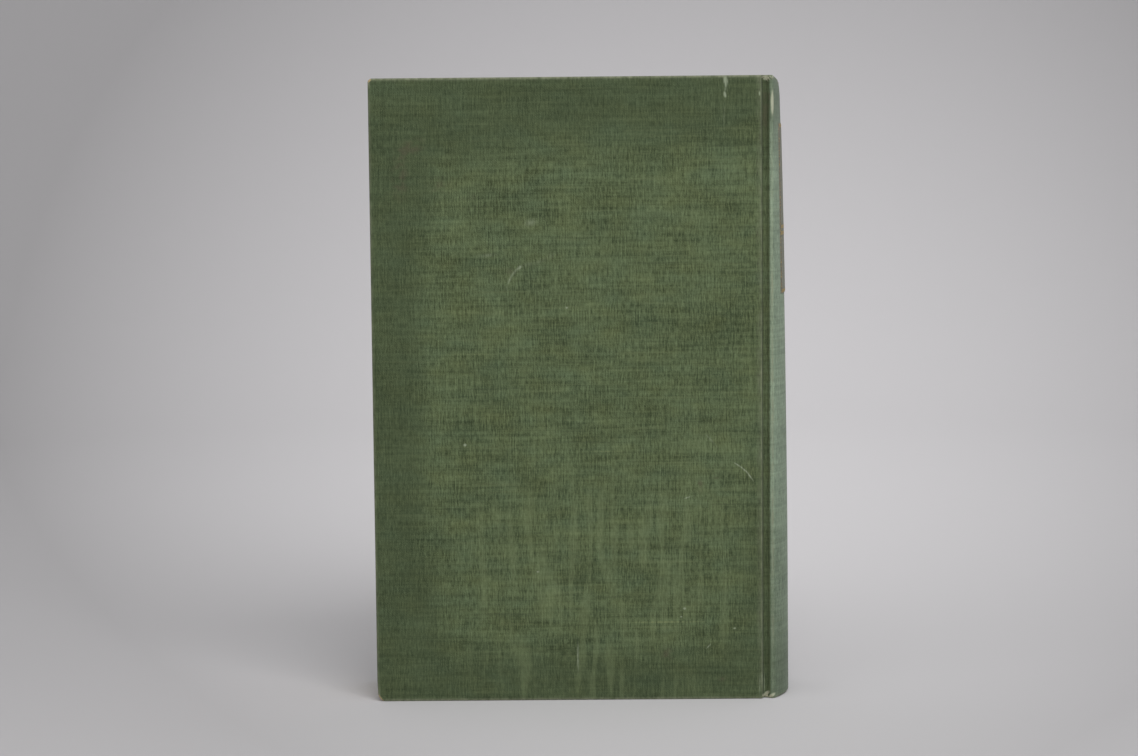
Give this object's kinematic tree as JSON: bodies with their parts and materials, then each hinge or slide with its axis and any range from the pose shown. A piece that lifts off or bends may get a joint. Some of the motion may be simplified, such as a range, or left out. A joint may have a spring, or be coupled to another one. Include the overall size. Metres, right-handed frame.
{
  "type": "hardback book",
  "caption": "Cloth-bound hardback book with rounded and backed spine, blank leather spine label with gilt rules, and covers that open on grooved joints.",
  "frame": {"origin": "middle of the underside of the closed book, which stands on its tail", "axes": "+X from the fore edge towards the spine, +Y from the rear cover towards the front cover, +Z from tail to head"},
  "size_m": [0.1566, 0.0382, 0.235],
  "materials": {
    "leaves": "uncoated book paper, toned at the edges",
    "endpaper": "uncoated cartridge paper",
    "thread": "waxed linen",
    "mull": "starched open-weave cotton",
    "endband": "striped silk over a cotton bead",
    "lining": "kraft paper",
    "inlay_card": "plain manila card",
    "greyboard": "plain greyboard",
    "book_cloth": "natural-finish cotton book cloth, rubbed",
    "spine_cloth": "the same cloth, faded by light",
    "label_leather": "pared goatskin, rubbed",
    "gilt": "gold leaf tooling, worn"
  },
  "bodies": {
    "block": {"text_block": "leaves", "sewing_thread": "thread", "spine_mull": "mull", "head_band": "endband", "tail_band": "endband", "spine_lining": "lining", "front_flyleaf": "endpaper", "rear_flyleaf": "endpaper", "spine_inlay": "inlay_card", "spine_cloth": "spine_cloth", "spine_label": "label_leather", "label_rules": "gilt"},
    "front_cover": {"front_board": "greyboard", "front_cloth": "book_cloth", "front_mull_flap": "mull", "front_pastedown": "endpaper"},
    "rear_cover": {"rear_board": "greyboard", "rear_cloth": "book_cloth", "rear_mull_flap": "mull", "rear_pastedown": "endpaper"}
  },
  "joints": [
    {"name": "front_hinge", "type": "hinge", "parent": "block", "child": "front_cover", "pos_m": [0.06916, 0.01885, 0.1175], "axis": [0, 0, -1], "range_deg": [0, 180]},
    {"name": "rear_hinge", "type": "hinge", "parent": "block", "child": "rear_cover", "pos_m": [0.06916, -0.01885, 0.1175], "axis": [0, 0, 1], "range_deg": [0, 180]}
  ]
}
